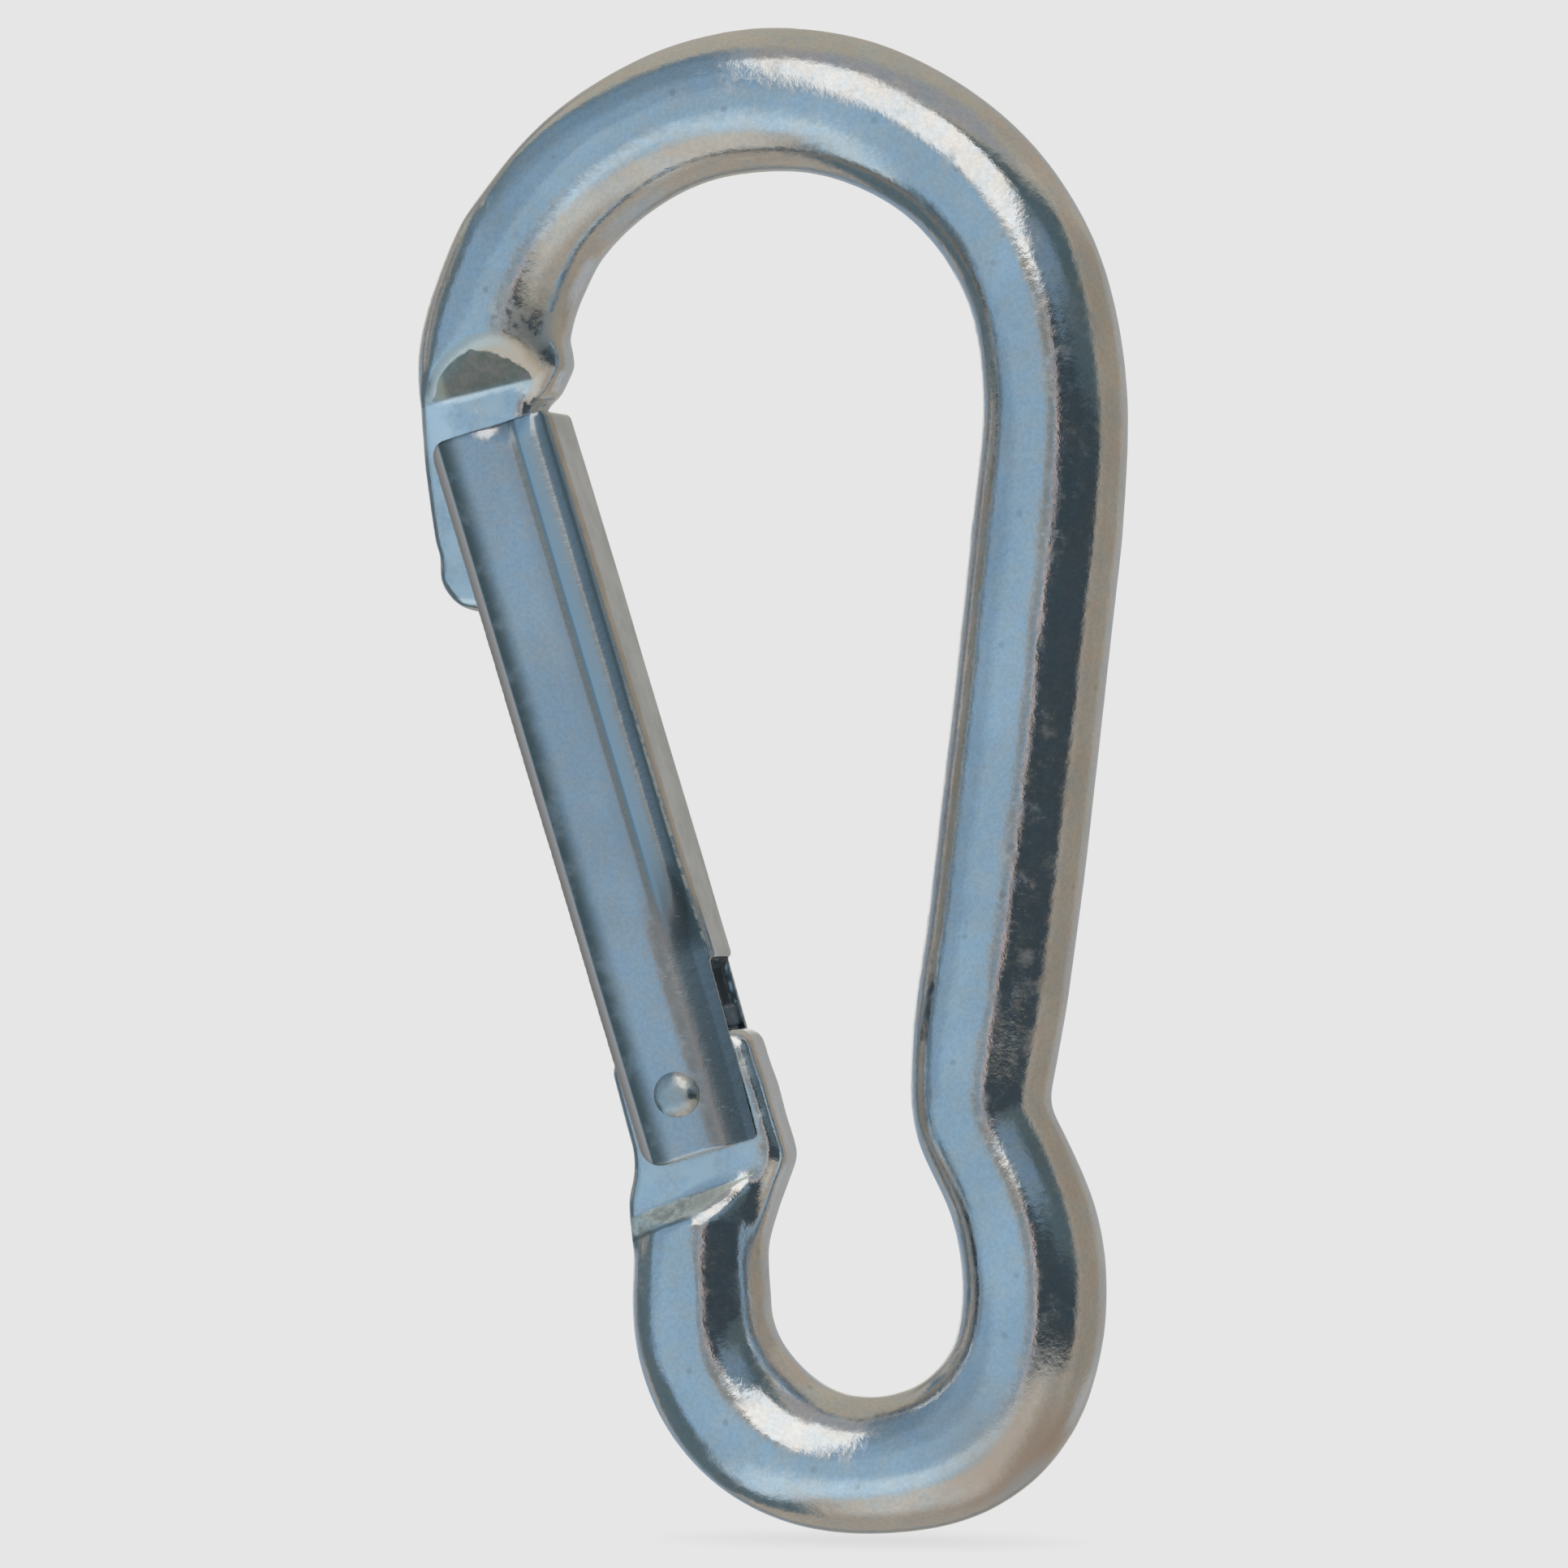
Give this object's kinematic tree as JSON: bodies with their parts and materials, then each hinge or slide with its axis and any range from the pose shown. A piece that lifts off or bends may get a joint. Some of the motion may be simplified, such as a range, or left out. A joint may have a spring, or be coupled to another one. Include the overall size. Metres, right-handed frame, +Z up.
{
  "type": "spring snap hook",
  "caption": "Bent-rod spring snap hook: large bow, straight leg with a kink, small rope eye, and a folded sheet gate that swings inwards on a cross rivet and springs shut.",
  "frame": {"origin": "centre of the small rope eye, in the middle of the rod's thickness", "axes": "+Z up the length from the rope eye to the big bow, +Y along the hinge rivet, +X from the gate side towards the long leg"},
  "size_m": [0.0482, 0.01, 0.1],
  "materials": {
    "rod_zinc": "bright bluish zinc plate, slightly mottled",
    "gate_zinc": "bright bluish zinc plate on sheet, fine rolling grain",
    "rivet_zinc": "zinc plated, domed by peening",
    "spring_steel": "drawn spring wire",
    "plunger_steel": "plain turned steel"
  },
  "bodies": {
    "hook": {"hook_body": "rod_zinc"},
    "gate": {"gate": "gate_zinc", "hinge_rivet": "rivet_zinc", "gate_spring": "spring_steel"},
    "plunger": {"spring_plunger": "plunger_steel"}
  },
  "joints": [
    {"name": "gate_hinge", "type": "hinge", "parent": "hook", "child": "gate", "pos_m": [-0.01207, 0, 0.01365], "axis": [0, 1, 0], "range_deg": [0, 30], "stiffness_Nm_per_rad": 0.29, "springref_deg": -29.79},
    {"name": "plunger_slide", "type": "slide", "parent": "gate", "child": "plunger", "axis": [-0.294, 0, 0.9558], "range_m": [0, 0.0015], "deforming": ["gate_spring"]}
  ],
  "couplings": [
    {"joint": "plunger_slide", "follows": "gate_hinge", "m_per_rad": 0.00266}
  ]
}
